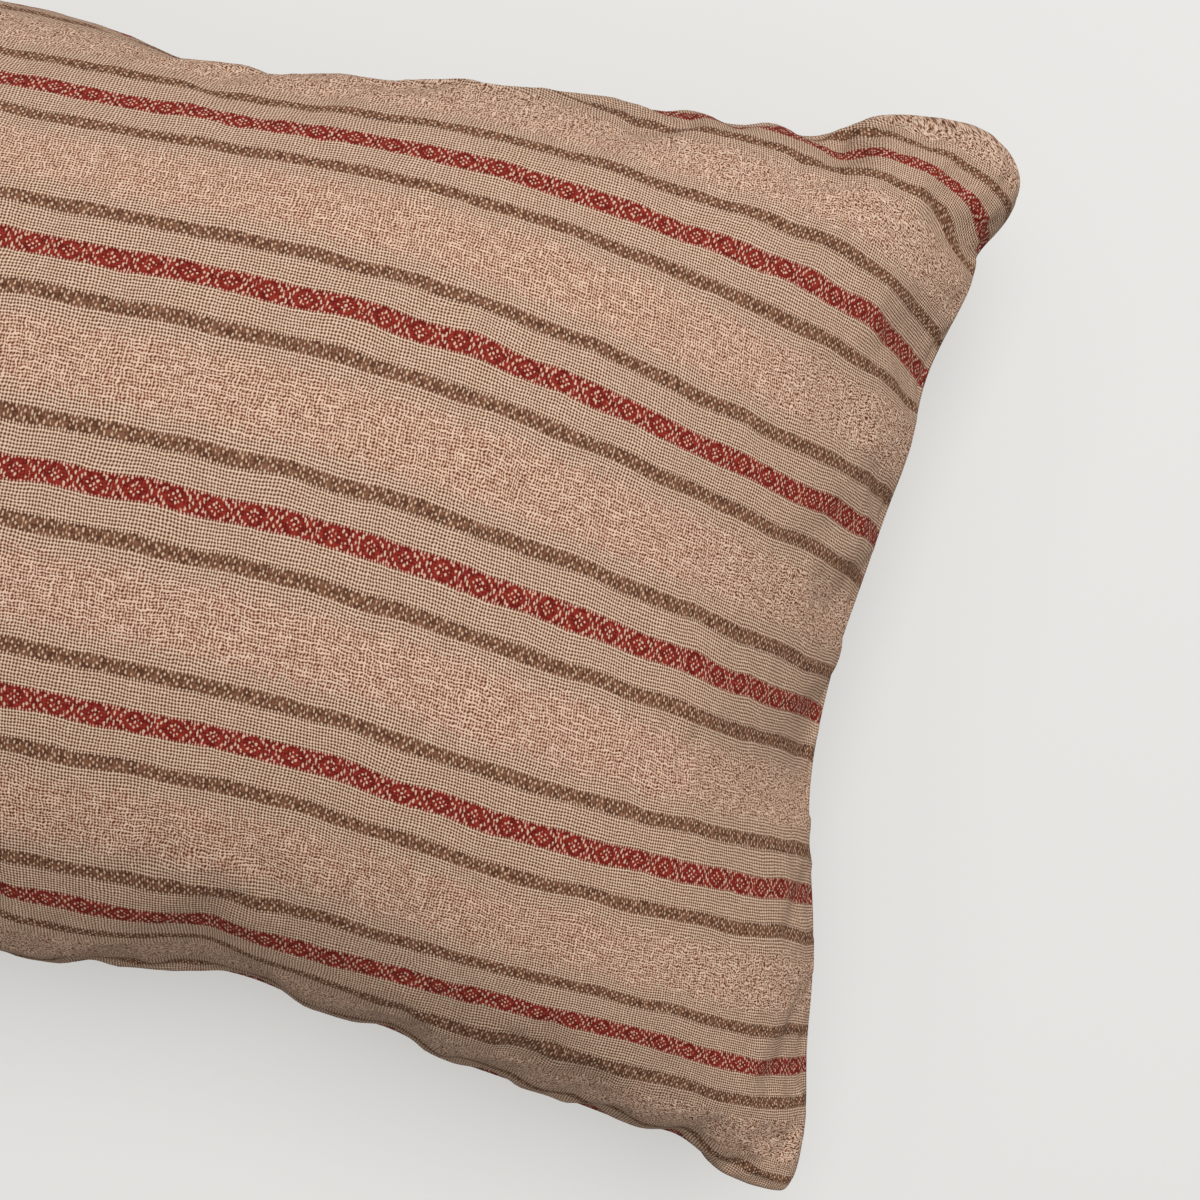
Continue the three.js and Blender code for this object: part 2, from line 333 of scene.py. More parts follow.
def read_table(rows, place_column, column, place):
    """A table's column at each place, on a smooth curve through its evenly spaced rows: each
    stretch is a cubic whose end slopes are half the rise between the neighbouring rows."""
    values = np.array([row[column] for row in rows], float)
    first = rows[0][place_column]
    last = rows[-1][place_column]
    spans = len(values) - 1
    before = 2 * values[0] - values[1]
    after = 2 * values[-1] - values[-2]
    padded = np.concatenate([[before], values, [after]])
    position = np.clip((place - first) / (last - first), 0, 1) * spans
    row = np.minimum(position.astype(int), spans - 1)
    step = position - row
    slope_at_start = (padded[row + 2] - padded[row]) / 2
    slope_at_end = (padded[row + 3] - padded[row + 1]) / 2
    rise = padded[row + 2] - padded[row + 1]
    bend = 3 * rise - 2 * slope_at_start - slope_at_end
    twist = slope_at_start + slope_at_end - 2 * rise
    return padded[row + 1] + step * (slope_at_start + step * (bend + step * twist))


def bump(distance, width):
    """One at the middle, falling softly to nothing past the given width: exp(-(d/w)^2)."""
    return np.exp(-((distance / width) ** 2))


def spread_out(fraction, cross_fraction, spread):
    """A fraction of the half size, moved outward by a cubic term that is largest on the crown."""
    amount = spread["crown"] + (spread["seam"] - spread["crown"]) * cross_fraction**2
    return fraction * (1 + amount * (1 - fraction**2))


# Each side's outward direction, and which parameter runs along it
SIDES = {
    "upper": {"outward": (0, 1), "runs": "along"},
    "lower": {"outward": (0, -1), "runs": "along"},
    "right": {"outward": (1, 0), "runs": "across"},
    "left": {"outward": (-1, 0), "runs": "across"},
}


def distance_from_side(side, s, t):
    """Distance from a side's seam, measured on the flat cover."""
    toward_x, toward_y = SIDES[side]["outward"]
    if toward_x:
        return HALF_LENGTH * (1 - toward_x * s)
    return HALF_HEIGHT * (1 - toward_y * t)


def pucker_at(pucker, s, t):
    """How strongly a pucker acts, from 0 to 1: a bump along its seam times a bump inward."""
    if SIDES[pucker["side"]]["runs"] == "along":
        along_side = s * HALF_LENGTH
    else:
        along_side = t * HALF_HEIGHT
    inward = distance_from_side(pucker["side"], s, t)
    return bump(along_side - pucker["place"], pucker["width"]) * bump(inward, pucker["reach"])


def crease_at(crease, s, t):
    """Depth of a crease: a bump of the distance from its line."""
    start = np.array(crease["from"], float)
    line = np.array(crease["to"], float) - start
    x = s * HALF_LENGTH - start[0]
    y = t * HALF_HEIGHT - start[1]
    share = np.clip((x * line[0] + y * line[1]) / (line @ line), 0, 1)
    distance = np.hypot(x - share * line[0], y - share * line[1])
    return crease["depth"] * bump(distance, crease["width"])


def outline_point(s, t):
    """Where a place on the cover lies, seen from above, once the pillow is filled: the spread
    fractions of the seam tables' half sizes, less the drawn-in corners, puckers and groove."""
    along_place = s * HALF_LENGTH
    across_place = t * HALF_HEIGHT
    right = read_table(END_SEAMS, "across", "right", across_place)
    left = read_table(END_SEAMS, "across", "left", across_place)
    upper = read_table(LONG_SEAMS, "along", "upper", along_place)
    lower = read_table(LONG_SEAMS, "along", "lower", along_place)
    drift = read_table(LONG_SEAMS, "along", "drift", along_place)
    along = spread_out(s, t, SPREAD_ALONG)
    across = spread_out(t, s, SPREAD_ACROSS)
    x = along * (right + left) / 2 + along**2 * (right - left) / 2
    y = across * (upper + lower) / 2 + across**2 * (upper - lower) / 2 + drift * (1 - t**2)

    for (to_right, to_upper), corner in CORNERS.items():
        here = (np.where(s > 0, 1, -1) == to_right) & (np.where(t > 0, 1, -1) == to_upper)
        near_corner = here * np.abs(s * t) ** corner["sharpness"]
        x = x - to_right * corner["along"] * near_corner
        y = y - to_upper * corner["across"] * near_corner

    for pucker in PUCKERS:
        pulled = pucker["depth"] * pucker_at(pucker, s, t)
        outward = SIDES[pucker["side"]]["outward"]
        x = x - outward[0] * pulled
        y = y - outward[1] * pulled
    for side in SIDES:
        sunk = GROOVE_DEPTH * bump(distance_from_side(side, s, t), GROOVE_WIDTH)
        outward = SIDES[side]["outward"]
        x = x - outward[0] * sunk
        y = y - outward[1] * sunk
    return x, y


def crown_share(s, t):
    """The share of the crown's height: A*B / sqrt(A^2 + B^2 - A^2*B^2), with A and B one minus a
    power of s and t, so that the form narrows evenly into each corner. Each pucker sinks it."""
    along = 1 - np.abs(s) ** FULLNESS_ALONG
    across = 1 - np.abs(t) ** FULLNESS_ACROSS
    settled = 1 - SETTLED_FILL * t * (1 - s**2)
    both = along * across
    least = 1e-12
    share = settled * both / np.sqrt(np.maximum(along**2 + across**2 - both**2, least))
    for pucker in PUCKERS:
        share = share * (1 - pucker["sink"] * pucker_at(pucker, s, t))
    return share


def panel_points(s, t, is_front):
    """A panel's points: the outline, lifted or sunk from the seam by the crown. The creases press
    the front in or out by half of its height at most, and the floor presses the back flat."""
    x, y = outline_point(s, t)
    share = crown_share(s, t)
    droop = CORNER_DROOP * (s * t) ** 4
    if is_front:
        full = FRONT_CROWN * share
        pressed = sum(crease_at(crease, s, t) for crease in CREASES)
        height = np.clip(full - pressed, full / 2, full * 3 / 2)
    else:
        height = -np.minimum(BACK_CROWN * share, REST_DEPTH - droop)
    return np.stack([x, y, REST_DEPTH + height - droop], axis=-1)


def cell_lines(count, crowding):
    """Cell lines from -1 to 1: even steps mixed with a sine that crowds them toward both ends."""
    even = np.linspace(-1, 1, count + 1)
    crowded = np.sin(even * math.pi / 2)
    return even + crowding * (crowded - even)


def hex_to_linear(colour):
    """An sRGB hex colour as a linear RGBA tuple."""
    channels = [int(colour[i : i + 2], 16) / 255 for i in (1, 3, 5)]
    linear = [c / 12.92 if c <= 0.04045 else ((c + 0.055) / 1.055) ** 2.4 for c in channels]
    return (*linear, 1)


def panel_numbers(shape):
    """Point numbers of both panels' grids. The back's border takes the front's numbers, because
    the panels share the points of the seam."""
    front = np.arange(shape[0] * shape[1]).reshape(shape)
    back = front.copy()
    inner = back[1:-1, 1:-1]
    back[1:-1, 1:-1] = front.size + np.arange(inner.size).reshape(inner.shape)
    return front, back


def joined(front_values, back_values):
    """Values of both panels' points as one list, in the order of their numbers."""
    width = front_values.shape[2:]
    inner = back_values[1:-1, 1:-1]
    return np.concatenate([front_values.reshape(-1, *width), inner.reshape(-1, *width)])


def grid_faces(numbers):
    """Four-cornered faces between neighbouring grid lines, turned left round the grid's normal."""
    corners = [numbers[:-1, :-1], numbers[1:, :-1], numbers[1:, 1:], numbers[:-1, 1:]]
    return np.stack(corners, axis=-1).reshape(-1, 4)


def closed_mesh(name, front_points, back_points):
    """Both panels' points, in millimetres, as one closed smooth mesh in metres."""
    front, back = panel_numbers(front_points.shape[:2])
    faces = np.concatenate([grid_faces(front), grid_faces(back)[:, ::-1]])
    mesh = bpy.data.meshes.new(name)
    mesh.from_pydata(joined(front_points, back_points) * MILLIMETRE, [], faces)
    mesh.polygons.foreach_set("use_smooth", np.ones(len(faces), bool))
    return mesh


def smooth_weights(fine, coarse):
    """A matrix that takes values on coarse lines to fine ones: each fine line weighs its four
    nearest coarse lines by the cubic that passes through them with no kink."""
    last = len(coarse) - 1
    place = np.interp(fine, coarse, np.arange(len(coarse)))
    first = np.minimum(place.astype(int), last - 1)
    step = place - first
    shares = [
        (-step + 2 * step**2 - step**3) / 2,
        (2 - 5 * step**2 + 3 * step**3) / 2,
        (step + 4 * step**2 - 3 * step**3) / 2,
        (-(step**2) + step**3) / 2,
    ]
    weights = np.zeros((len(fine), len(coarse)))
    for offset, share in zip((-1, 0, 1, 2), shares):
        column = np.clip(first + offset, 0, last)
        np.add.at(weights, (np.arange(len(fine)), column), share)
    return weights


def add_group(piece, name, weights):
    """A vertex group with a weight for each point, rounded to hundredths."""
    group = piece.vertex_groups.new(name=name)
    rounded = np.round(weights, 2)
    for weight in np.unique(rounded):
        group.add(np.nonzero(rounded == weight)[0].tolist(), float(weight), "REPLACE")


def settle_cloth(s, t):
    """How far simulated cloth moves from the plain form, for both panels' grids. The cloth grows
    by its slack away from the seams and is blown up by the filling, so that it folds and puckers
    beside the seams. Each move is capped: its length becomes cap * tanh(length / cap). The back
    moves only near the seam."""
    along_lines = cell_lines(SETTLING_CELLS_ALONG, SETTLING_CROWDING)
    across_lines = cell_lines(SETTLING_CELLS_ACROSS, SETTLING_CROWDING)
    coarse_s, coarse_t = np.meshgrid(along_lines, across_lines, indexing="ij")
    start_front = panel_points(coarse_s, coarse_t, True)
    start_back = panel_points(coarse_s, coarse_t, False)
    mesh = closed_mesh("settling_cloth", start_front, start_back)
    cloth = bpy.data.objects.new("settling_cloth", mesh)
    bpy.context.scene.collection.objects.link(cloth)

    to_end = HALF_LENGTH * (1 - np.abs(coarse_s))
    to_long_side = HALF_HEIGHT * (1 - np.abs(coarse_t))
    slack = (1 - bump(to_end, SLACK_REACH)) * (1 - bump(to_long_side, SLACK_REACH))
    add_group(cloth, "slack", joined(slack, slack))
    held = HOLD_NEAR_SEAM + (HOLD_IN_PANEL - HOLD_NEAR_SEAM) * slack
    at_seam = np.minimum(to_end, to_long_side) < 1
    held = np.where(at_seam, HOLD_AT_SEAM, held)
    add_group(cloth, "held", joined(held, np.full_like(held, HOLD_ON_BACK)))

    modifier = cloth.modifiers.new("settling", "CLOTH")
    settings = modifier.settings
    settings.quality = SETTLING_QUALITY
    settings.mass = CLOTH_POINT_MASS
    settings.tension_stiffness = STRETCH_STIFFNESS
    settings.compression_stiffness = STRETCH_STIFFNESS
    settings.shear_stiffness = SHEAR_STIFFNESS
    settings.bending_stiffness = BENDING_STIFFNESS
    settings.tension_damping = CLOTH_DAMPING
    settings.compression_damping = CLOTH_DAMPING
    settings.shear_damping = CLOTH_DAMPING
    settings.air_damping = AIR_DAMPING
    settings.use_pressure = True
    settings.uniform_pressure_force = FILLING_PRESSURE
    settings.effector_weights.gravity = 0
    settings.vertex_group_shrink = "slack"
    settings.shrink_min = -CLOTH_SLACK
    settings.shrink_max = 0
    settings.vertex_group_mass = "held"
    modifier.point_cache.frame_start = 1
    modifier.point_cache.frame_end = SETTLING_STEPS
    for step in range(1, SETTLING_STEPS + 1):
        bpy.context.scene.frame_set(step)
    settled = cloth.evaluated_get(bpy.context.evaluated_depsgraph_get())
    points = np.empty(len(mesh.vertices) * 3)
    settled.data.vertices.foreach_get("co", points)
    points = points.reshape(-1, 3) / MILLIMETRE
    bpy.data.objects.remove(cloth)
    bpy.data.meshes.remove(mesh)
    bpy.context.scene.frame_set(1)

    front_numbers, back_numbers = panel_numbers(coarse_s.shape)
    front_moves = points[front_numbers] - start_front
    back_moves = points[back_numbers] - start_back
    near_seam = bump(np.minimum(to_end, to_long_side), BACK_SETTLING_REACH)
    back_moves = back_moves * near_seam[..., None]
    to_fine_along = smooth_weights(s[:, 0], along_lines)
    to_fine_across = smooth_weights(t[0], across_lines)
    moves = []
    for coarse_moves in (front_moves, back_moves):
        length = np.linalg.norm(coarse_moves, axis=-1, keepdims=True)
        least = 1e-9
        capped = MOST_SETTLING * np.tanh(length / MOST_SETTLING) / np.maximum(length, least)
        fine = np.einsum("ia,abc,jb->ijc", to_fine_along, coarse_moves * capped, to_fine_across)
        moves.append(fine)
    return moves


def soft_waves(x, y, length, seed):
    """A soft uneven field between about -1 and 1: the sum of twelve plane cosine waves of about
    the given length, with directions and phases from a seeded generator."""
    chance = np.random.default_rng(seed)
    field = np.zeros_like(x)
    count = 12
    for _ in range(count):
        direction = chance.uniform(0, math.pi)
        turn = 2 * math.pi / (length * chance.uniform(0.7, 1.5))
        phase = chance.uniform(0, 2 * math.pi)
        field += np.cos(turn * (x * math.cos(direction) + y * math.sin(direction)) + phase)
    return field * math.sqrt(2 / count) / 2


def outward_normals(points):
    """A grid's unit normals: the cross product of its two slopes."""
    across = np.cross(np.gradient(points, axis=0), np.gradient(points, axis=1))
    return across / np.maximum(np.linalg.norm(across, axis=-1, keepdims=True), 1e-12)


def cloth_places(s, t, seed):
    """Where each point lies on the cloth's pattern, in millimetres along and below the upper
    seam, with the threads' soft wander."""
    along = s * HALF_LENGTH
    below = (1 - t) * HALF_HEIGHT
    wide_along = WIDE_WANDER * soft_waves(along, below, WIDE_WANDER_LENGTH, seed)
    wide_below = WIDE_WANDER * soft_waves(along, below, WIDE_WANDER_LENGTH, seed + 1)
    close_along = CLOSE_WANDER * soft_waves(along, below, CLOSE_WANDER_LENGTH, seed + 2)
    close_below = CLOSE_WANDER * soft_waves(along, below, CLOSE_WANDER_LENGTH, seed + 3)
    return along + wide_along + close_along, below + wide_below + close_below


def slide_at(s, t):
    """How far the pattern has slid downward: a sum of soft bumps of the place on the cover."""
    along = s * HALF_LENGTH
    below = (1 - t) * HALF_HEIGHT
    slid = np.zeros_like(s)
    for slide in SLIDES:
        near = bump(along - slide["along"], slide["width"])
        slid += slide["down"] * near * bump(below - slide["below"], slide["reach"])
    return slid


def make_pillow():
    """Both panels as one closed mesh. One map holds each point's place on the cloth in
    millimetres, and the other lays both panels side by side in the unit square."""
    along_lines = cell_lines(CELLS_ALONG, CELL_CROWDING)
    across_lines = cell_lines(CELLS_ACROSS, CELL_CROWDING)
    s, t = np.meshgrid(along_lines, across_lines, indexing="ij")
    front_points = panel_points(s, t, True)
    back_points = panel_points(s, t, False)
    front_moves, back_moves = settle_cloth(s, t)
    front_points += front_moves
    back_points += back_moves
    waves = soft_waves(s * HALF_LENGTH, t * HALF_HEIGHT, CREPE_LENGTH, CREPE_SEED)
    crepe = CREPE_HEIGHT * waves
    away_from_end = 1 - np.abs(s) ** CREPE_FALL_ALONG
    away_from_long_seam = 1 - np.abs(t) ** CREPE_FALL_ACROSS
    away_from_seam = away_from_end * away_from_long_seam
    lift = (crepe * away_from_seam)[..., None]
    front_points += lift * outward_normals(front_points)
    back_points[..., 2] = np.maximum(back_points[..., 2], 0)

    low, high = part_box("pillow")
    middle = (low + high) / 2 / MILLIMETRE
    everything = joined(panel_points(s, t, True), panel_points(s, t, False))
    own_middle = (everything.min(axis=0) + everything.max(axis=0)) / 2
    to_place = np.array([middle.x - own_middle[0], middle.y - own_middle[1], 0])
    mesh = closed_mesh("pillow_cover", front_points + to_place, back_points + to_place)

    along, below = cloth_places(s, t, FRONT_WANDER_SEED)
    front_places = np.stack([along, below + slide_at(s, t)], axis=-1)
    back_places = np.stack(cloth_places(s, t, BACK_WANDER_SEED), axis=-1)
    add_map(mesh, "cloth", front_places, back_places)
    margin = 0.01
    share_along = margin + (1 - 2 * margin) * (s + 1) / 2
    share_across = margin + (0.5 - 2 * margin) * (t + 1) / 2
    back_sheet = np.stack([share_along, share_across], axis=-1)
    front_sheet = back_sheet + (0, 0.5)
    add_map(mesh, "OFBake", front_sheet, back_sheet)

    pillow = bpy.data.objects.new("pillow_cover", mesh)
    bpy.context.scene.collection.objects.link(pillow)
    return pillow


def add_map(mesh, name, front_places, back_places):
    """A map from each face's corners to places on a sheet, for both panels."""
    places = [grid_corner_values(front_places), grid_corner_values(back_places)[:, ::-1]]
    cloth_map = mesh.uv_layers.new(name=name)
    cloth_map.uv.foreach_set("vector", np.concatenate(places).ravel())


def grid_corner_values(values):
    """The values at the four corners of each of a grid's faces, in the faces' order."""
    corners = [values[:-1, :-1], values[1:, :-1], values[1:, 1:], values[:-1, 1:]]
    return np.stack(corners, axis=2).reshape(-1, 4, values.shape[-1])


def add(tree, kind, *inputs, output=0, stops=(), **settings):
    """Adds a shader node with its settings and any colour ramp's (place, hex colour) stops, joins
    or fills its inputs in order, and returns one of its outputs. None leaves an input alone."""
    made = tree.nodes.new("ShaderNode" + kind)
    for name, value in settings.items():
        setattr(made, name, value)
    for number, (place, colour) in enumerate(stops):
        elements = made.color_ramp.elements
        element = elements[number] if number < len(elements) else elements.new(place)
        element.position = place
        element.color = hex_to_linear(colour)
    for socket, value in zip(made.inputs, inputs):
        if isinstance(value, bpy.types.NodeSocket):
            tree.links.new(value, socket)
        elif value is not None:
            socket.default_value = value
    return made.outputs[output] if made.outputs else None


def new_material(name):
    """An empty node material, and its node tree."""
    material = bpy.data.materials.new(name)
    material.use_nodes = True
    material.node_tree.nodes.clear()
    return material, material.node_tree


def nearest_fleck(tree, place, flecks):
    """Distance to the nearest fleck of a chart, as a share of that fleck's size: the length of
    (place - fleck) / size, least over the rows. Place is across the threads and out."""
    nearest = None
    for fleck in flecks:
        across_size = fleck["width"] / 2
        out_size = fleck["length"] / 2
        middle = fleck["thread"] * WEFT_PITCH
        scale = (1 / across_size, 1 / out_size, 0)
        shift = (-middle / across_size, -fleck["out"] / out_size, 0)
        scaled = add(tree, "VectorMath", place, scale, shift, operation="MULTIPLY_ADD")
        away = add(tree, "VectorMath", scaled, operation="LENGTH", output="Value")
        if nearest is None:
            nearest = away
        else:
            nearest = add(tree, "Math", nearest, away, operation="MINIMUM")
    return nearest


def woven_cotton():
    """Hand-woven striped cotton: a plain weave of cream threads, painted lighter on their round
    backs and darker in the gaps between them as painted light and shade, red and brown warp stripes
    with small weft flecks, and slubby pink bands. To the eye it is matt, with a soft nap, and every
    thread shows."""
    material, tree = new_material("woven_cotton")
    place = add(tree, "UVMap", output="UV", uv_map="cloth")
    plain_parts = add(tree, "SeparateXYZ", place).node
    plain_along = plain_parts.outputs["X"]
    plain_below = plain_parts.outputs["Y"]
    plain_from_red = distance_from_red(tree, plain_below)

    # One uneven field leads the threads astray, most in the pink bands, and makes patches
    patches = add(tree, "TexNoise", place, None, PATCH_SCALE, 1.0, noise_dimensions="2D")
    pink_reach = add(tree, "Math", patches, PINK_RAGGEDNESS, plain_from_red, operation="MULTIPLY_ADD")
    pink_edge = STRIPE_REPEAT / 2 - PINK_HALF_WIDTH + PINK_RAGGEDNESS / 2
    pink = add(
        tree, "MapRange", pink_reach, pink_edge - PINK_SOFTNESS, pink_edge + PINK_SOFTNESS, 0, 1,
        interpolation_type="SMOOTHSTEP",
    )
    centred_patches = add(tree, "Math", patches, 0.5, operation="SUBTRACT")
    from_middle = add(tree, "Math", plain_below, HALF_HEIGHT, operation="SUBTRACT")
    off_crown = add(tree, "Math", from_middle, operation="ABSOLUTE")
    near_long_seams = add(tree, "MapRange", off_crown, *SLACK_OFF_CROWN, 0, 1)
    near_end = add(tree, "MapRange", plain_along, *SLACK_ALONG, 0, MOST_SLACK_AT_END)
    slack = add(tree, "Math", near_long_seams, near_end, operation="MAXIMUM")
    in_pink = add(tree, "Math", slack, WANDER_IN_SLACK, WANDER_IN_PINK, operation="MULTIPLY_ADD")
    wander = add(tree, "Math", pink, in_pink, WANDER_EVERYWHERE, operation="MULTIPLY_ADD")
    astray = add(tree, "Math", centred_patches, wander, operation="MULTIPLY")
    led = add(tree, "VectorMath", astray, WANDER_DIRECTION, place, operation="MULTIPLY_ADD")
    meander = add(tree, "TexNoise", place, None, MEANDER_SCALE, 0.0, noise_dimensions="2D")
    centred_meander = add(tree, "Math", meander, 0.5, operation="SUBTRACT")
    loose = add(tree, "Math", slack, pink, operation="MULTIPLY")
    meandering = add(tree, "Math", centred_meander, loose, operation="MULTIPLY")
    moved = add(tree, "VectorMath", meandering, MEANDER, led, operation="MULTIPLY_ADD")
    parts = add(tree, "SeparateXYZ", moved).node
    along = parts.outputs["X"]
    from_red = distance_from_red(tree, parts.outputs["Y"])
    brown_side = add(tree, "Math", from_red, BROWN_OFFSET, operation="SUBTRACT")
    from_brown = add(tree, "Math", brown_side, operation="ABSOLUTE")

    # The plain weave: a cosine for each set of threads, one on a thread's back and minus one in
    # the gap beside it
    weft_turn = add(tree, "Math", along, 2 * math.pi / WEFT_PITCH, operation="MULTIPLY")
    warp_turn = add(tree, "Math", from_red, 2 * math.pi / WARP_PITCH, operation="MULTIPLY")
    weft_wave = add(tree, "Math", weft_turn, operation="COSINE")
    warp_wave = add(tree, "Math", warp_turn, operation="COSINE")
    lattice = add(tree, "Math", weft_wave, warp_wave, operation="ADD")

    # Slubs: single threads that stand out for a few millimetres, mostly in the pink bands
    warp_slub = slub(tree, moved, WARP_SLUB_STRETCH, warp_wave)
    weft_slub = slub(tree, moved, WEFT_SLUB_STRETCH, weft_wave)
    slubs = add(tree, "Math", warp_slub, weft_slub, operation="ADD")
    slub_height = add(tree, "Math", pink, SLUB_IN_PINK, SLUB_IN_GROUND, operation="MULTIPLY_ADD")
    raised = add(tree, "Math", slubs, slub_height, operation="MULTIPLY")

    # The crepe, an uneven net of gaps painted dark as shade, takes over from the plain weave in the
    # pink bands, and most of all where the cloth is slack
    drawn_out = add(tree, "VectorMath", place, NET_STRETCH, operation="MULTIPLY")
    net = add(tree, "TexNoise", drawn_out, None, NET_SCALE, 0.0, noise_dimensions="2D")
    net_height = add(tree, "MapRange", net, 0.36, 0.6, -1, 1)
    half_lattice = add(tree, "Math", lattice, 0.5, operation="MULTIPLY")
    net_share = add(tree, "Math", slack, NET_IN_SLACK, NET_IN_PINK, operation="MULTIPLY_ADD")
    pink_net = add(tree, "Math", net_share, pink, operation="MULTIPLY")
    netted = add(tree, "Mix", pink_net, None, half_lattice, net_height)
    clearer = add(
        tree, "Math", loose, WEAVE_CONTRAST_IN_SLACK, WEAVE_CONTRAST, operation="MULTIPLY_ADD",
    )
    weave = add(tree, "Math", netted, clearer, raised, operation="MULTIPLY_ADD")

    # The ground and the pink band: the same weave in two sets of colours, each running from painted
    # shade in the gaps to painted light on the threads' backs, over the threads' own tones
    # The weave's value picks each colour, from painted shade in the gaps to painted light on the
    # threads' backs
    thread_light_and_shade = add(tree, "MapRange", weave, -0.72, 0.76, 0, 1)
    ground = add(tree, "ValToRGB", thread_light_and_shade, stops=[
        (0.0, "#5E3B2A"),
        (0.22, "#875D44"),
        (0.42, "#BC9376"),
        (0.62, "#D6B095"),
        (0.95, "#F3D9C1"),
    ])
    pink_cloth = add(tree, "ValToRGB", thread_light_and_shade, stops=[
        (0.0, "#5F3626"),
        (0.27, "#905F4A"),
        (0.5, "#C5967D"),
        (0.72, "#DFB498"),
        (1.0, "#F5D4BA"),
    ])
    faded = add(tree, "MapRange", slack, 0, 1, 1, PINK_LEFT_IN_SLACK)
    pinkness = add(tree, "Math", pink, faded, operation="MULTIPLY")
    cloth = add(
        tree, "Mix", pinkness, None, None, None, None, None, ground, pink_cloth,
        data_type="RGBA", output=2,
    )

    # The two kinds of stripe, each with its flecks. Their warp threads are painted darker in the gaps
    # beside each other, as painted shade, and vary in tone by patches.
    tone_and_thread_shade = add(tree, "Math", lattice, 0.11, patches, operation="MULTIPLY_ADD")
    cloth, in_brown = lay_stripe(
        tree, cloth, (along, from_brown), BROWN_WIDTH, BROWN_REPEAT_THREADS, BROWN_FLECKS,
        (patches, weft_wave, net, tone_and_thread_shade), ("#5E3B2B", "#8C6048"), "#DDBD9F",
    )
    cloth, in_red = lay_stripe(
        tree, cloth, (along, from_red), RED_WIDTH, RED_REPEAT_THREADS, RED_FLECKS,
        (patches, weft_wave, net, tone_and_thread_shade), ("#6E1A15", "#9A3327"), "#E6BEA4",
    )

    # Height of the threads, in millimetres
    flatter = add(tree, "Math", in_red, in_brown, operation="MAXIMUM")
    thread_height = add(tree, "MapRange", flatter, 0, 1, THREAD_HEIGHT, THREAD_HEIGHT_IN_STRIPE)
    height = add(tree, "Math", lattice, thread_height, operation="MULTIPLY")
    normal = add(tree, "Bump", 1.0, MILLIMETRE, None, height)

    shader = tree.nodes.new("ShaderNodeBsdfPrincipled")
    shader.inputs["Roughness"].default_value = 0.9
    shader.inputs["Specular IOR Level"].default_value = 0.15
    shader.inputs["Sheen Weight"].default_value = 0.06
    shader.inputs["Sheen Roughness"].default_value = 0.5
    shader.inputs["Sheen Tint"].default_value = hex_to_linear("#E0B08C")
    tree.links.new(cloth, shader.inputs["Base Color"])
    tree.links.new(normal, shader.inputs["Normal"])
    add(tree, "OutputMaterial", shader.outputs[0])
    return material


def distance_from_red(tree, below):
    """Distance from the middle of the nearest red stripe, folded at the pink band's middle."""
    from_first = add(tree, "Math", below, FIRST_STRIPE * STRIPE_REPEAT, operation="SUBTRACT")
    return add(tree, "Math", from_first, STRIPE_REPEAT / 2, operation="PINGPONG")


def slub(tree, place, stretch, wave):
    """Where a single thread stands out: long narrow patches times the thread's own round back."""
    stretched = add(tree, "VectorMath", place, stretch, operation="MULTIPLY")
    patch = add(tree, "TexNoise", stretched, None, 1.0, 0.0, noise_dimensions="2D")
    share = add(tree, "MapRange", patch, 0.52, 0.7, 0, 1)
    back = add(tree, "MapRange", wave, -1, 1, 0, 1)
    return add(tree, "Math", share, back, operation="MULTIPLY")


def lay_stripe(tree, under, place, width, repeat_threads, flecks, uneven, warp_colours, fleck_colour):
    """Lays a warp stripe over the cloth's colour, and returns the colour and the stripe's own
    mask. The fleck chart is folded at half a repeat along the stripe and at the stripe's middle
    line. The edge steps in and out at each weft thread, by more in some patches."""
    along, out = place
    patches, weft_wave, net, tone_and_thread_shade = uneven
    ragged = add(tree, "MapRange", patches, 0.35, 0.65, 0.1, 0.42)
    reach = add(tree, "Math", weft_wave, ragged, out, operation="MULTIPLY_ADD")
    softness = 0.16
    inside = add(tree, "MapRange", reach, width / 2 + softness, width / 2 - softness, 0, 1)
    half_repeat = repeat_threads / 2 * WEFT_PITCH
    thread = add(tree, "Math", along, half_repeat, operation="PINGPONG")
    chart_place = add(tree, "CombineXYZ", thread, out)
    nearest = nearest_fleck(tree, chart_place, flecks)
    worn = add(tree, "Math", net, 2.0, nearest, operation="MULTIPLY_ADD")
    fleck = add(tree, "MapRange", worn, 2.2, 1.6, 0, 1)
    darker, lighter = warp_colours
    # The warp's colour runs from darker to lighter with random tone and painted thread shade
    warp = add(tree, "ValToRGB", tone_and_thread_shade, stops=[(0.3, darker), (0.7, lighter)])
    colour = add(
        tree, "Mix", fleck, None, None, None, None, None, warp, hex_to_linear(fleck_colour),
        data_type="RGBA", output=2,
    )
    laid = add(
        tree, "Mix", inside, None, None, None, None, None, under, colour,
        data_type="RGBA", output=2,
    )
    return laid, inside


def seen_by_camera(tree, seen, otherwise):
    """One strength where the camera looks straight at a surface, and another for its light on
    other things."""
    straight = add(tree, "LightPath", output="Is Camera Ray")
    return add(tree, "MapRange", straight, 0, 1, otherwise, seen)


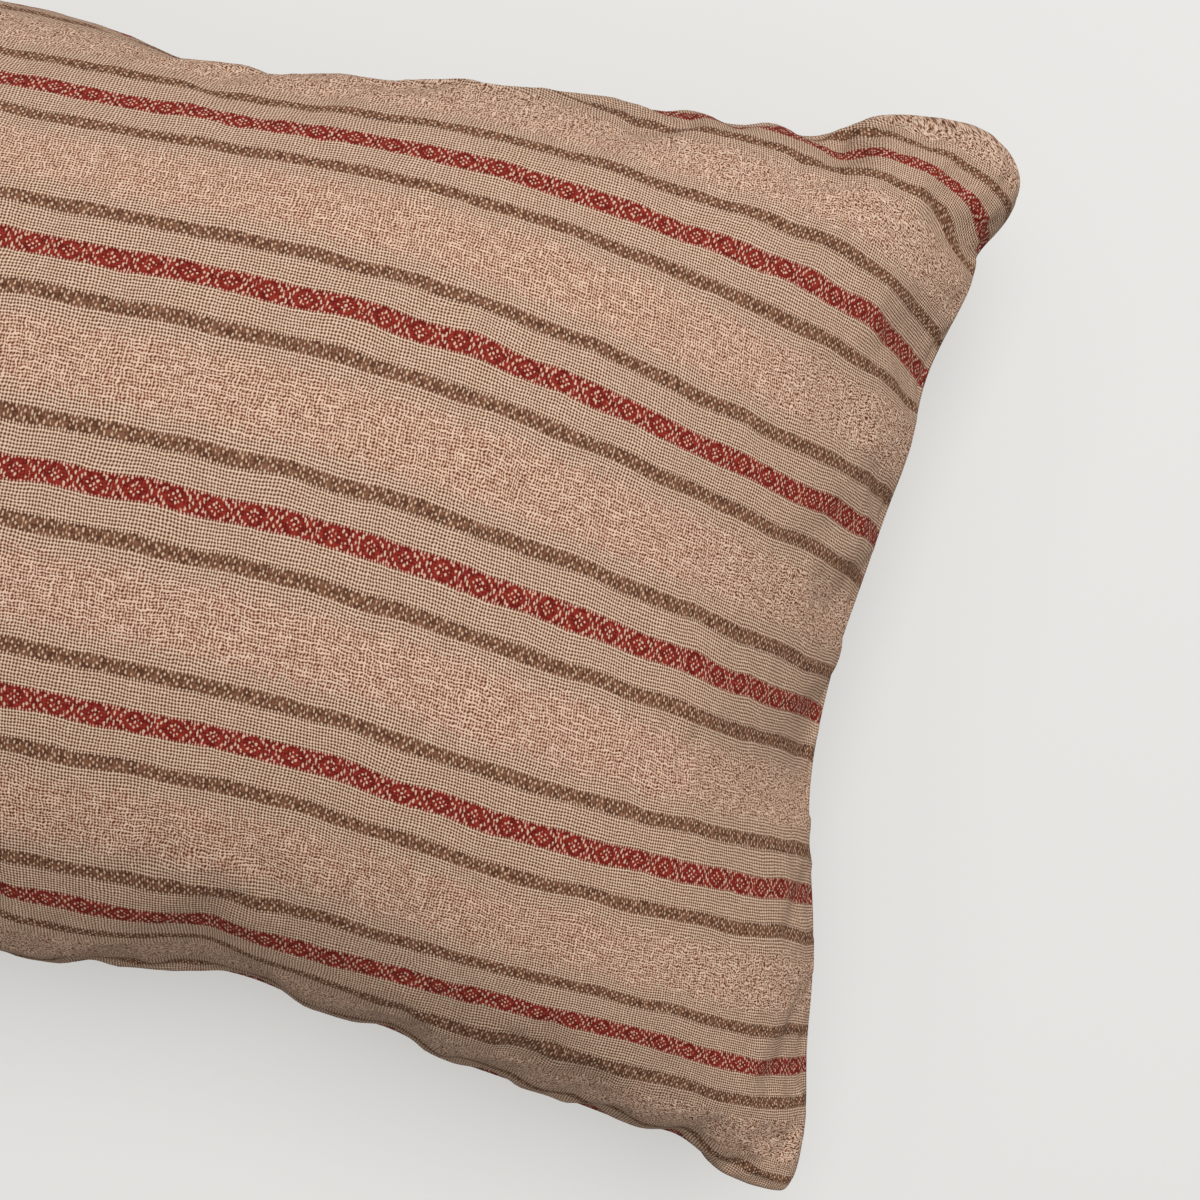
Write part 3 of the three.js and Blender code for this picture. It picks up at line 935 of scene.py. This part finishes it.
def make_floor():
    """A plain pale floor, large enough for every view. Part of what the camera sees of it is its
    own light, as on a lit table, dimmed by ambient occlusion beside the pillow into a painted
    contact shadow, so that shadows on it stay soft and pale."""
    far = FLOOR_HALF_SIZE
    corners = [(-far, -far, 0), (far, -far, 0), (far, far, 0), (-far, far, 0)]
    mesh = bpy.data.meshes.new("floor")
    mesh.from_pydata(corners, [], [(0, 1, 2, 3)])
    floor = bpy.data.objects.new("floor", mesh)
    bpy.context.scene.collection.objects.link(floor)
    material, tree = new_material("pale_paper")
    matt = add(tree, "BsdfDiffuse", (0.4, 0.398, 0.39, 1))
    # Ambient occlusion dims the floor's own light beside the pillow: a painted contact shadow
    openness = add(tree, "AmbientOcclusion", None, PAINTED_SHADOW_REACH, samples=4, output="AO")
    least = FLOOR_LIGHT * FLOOR_LIGHT_IN_PAINTED_SHADOW
    light_with_painted_shadow = add(tree, "MapRange", openness, 0, 1, least, FLOOR_LIGHT)
    own_light = add(tree, "Emission", (1, 0.99, 0.965, 1), seen_by_camera(tree, light_with_painted_shadow, 0))
    both = add(tree, "AddShader", matt, own_light)
    add(tree, "OutputMaterial", both)
    mesh.materials.append(material)


def make_lamp():
    """A square soft lamp that faces the middle of the pillow."""
    lamp = bpy.data.lights.new("overhead_light", "AREA")
    lamp.size = LAMP_WIDTH
    lamp.energy = LAMP_POWER
    light = bpy.data.objects.new("overhead_light", lamp)
    light.location = LAMP_PLACE
    toward = -light.location
    light.rotation_euler = toward.to_track_quat("-Z", "Y").to_euler()
    bpy.context.scene.collection.objects.link(light)


def make_studio():
    """One large soft lamp overhead, a little toward the right and upper sides, and faint light all
    round."""
    world = bpy.data.worlds.new("studio")
    world.use_nodes = True
    tree = world.node_tree
    background = tree.nodes["Background"]
    background.inputs["Color"].default_value = (1, 0.993, 0.955, 1)
    tree.links.new(seen_by_camera(tree, BACKDROP_LIGHT, ROUND_LIGHT), background.inputs["Strength"])
    bpy.context.scene.world = world
    make_lamp()
    bpy.context.scene.view_settings.view_transform = "Standard"


def make_camera():
    """A camera that looks straight down at the right half of the pillow."""
    lens = bpy.data.cameras.new("camera")
    lens.lens = CAMERA_LENS
    lens.sensor_width = SENSOR_WIDTH
    lens.clip_start = 0.01
    camera = bpy.data.objects.new("camera", lens)
    camera.location = [place * MILLIMETRE for place in CAMERA_PLACE]
    camera.rotation_euler = (0, 0, math.radians(CAMERA_TURN))
    bpy.context.scene.collection.objects.link(camera)
    bpy.context.scene.camera = camera


make_camera()
make_studio()
make_floor()
pillow = make_pillow()
pillow.data.materials.append(woven_cotton())
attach(pillow, "root")
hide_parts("pillow")
